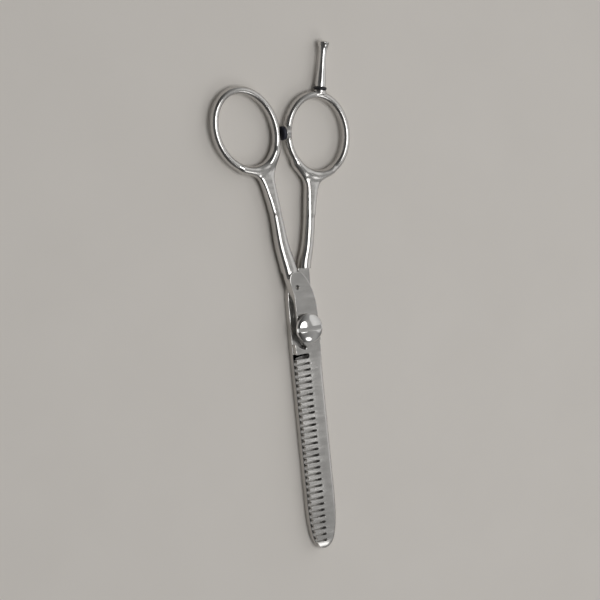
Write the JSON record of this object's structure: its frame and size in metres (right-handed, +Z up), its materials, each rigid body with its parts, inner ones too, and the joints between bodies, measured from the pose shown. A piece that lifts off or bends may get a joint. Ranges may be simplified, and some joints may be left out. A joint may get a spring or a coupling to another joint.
{
  "type": "thinning shears",
  "caption": "Hairdresser's thinning shears with a toothed blade over a plain blade, two finger rings, a tension screw, a rubber stop between the rings and a finger rest.",
  "frame": {"origin": "on the pivot axis, at the flat underside of the lower half, which is the face the closed shears lie on", "axes": "+Y from the pivot towards the finger rings, the blade tips point to -Y; +Z up through the tension screw; +X towards the finger rest, the thumb ring is at -X"},
  "size_m": [0.0504, 0.1628, 0.0079],
  "materials": {
    "blade_steel": "polished stainless steel, satin ground on the blade backs",
    "polished_steel": "mirror polished stainless steel",
    "pivot_steel": "turned steel",
    "spring_steel": "rolled spring steel",
    "bearing_bronze": "turned bronze",
    "white_nylon": "natural nylon",
    "bumper_rubber": "moulded dark blue-black rubber",
    "washer_rubber": "moulded black rubber"
  },
  "bodies": {
    "cutting_half": {"cutting_blade": "blade_steel", "pivot_post": "pivot_steel", "slip_washer": "white_nylon", "thrust_washer": "bearing_bronze", "click_washer": "spring_steel", "ring_bumper": "bumper_rubber", "bumper_stud": "pivot_steel", "finger_rest": "polished_steel", "finger_rest_washer": "washer_rubber"},
    "comb_half": {"comb_blade": "blade_steel", "bearing_bush": "bearing_bronze"},
    "screw": {"tension_screw": "polished_steel"}
  },
  "joints": [
    {"name": "blade_pivot", "type": "hinge", "parent": "cutting_half", "child": "comb_half", "pos_m": [0, 0, 0.0025], "axis": [0, 0, 1], "range_deg": [0, 140]},
    {"name": "tension_turn", "type": "hinge", "parent": "cutting_half", "child": "screw", "pos_m": [0, 0, 0.0058], "axis": [0, 0, 1], "range_deg": [-90, 180]}
  ]
}
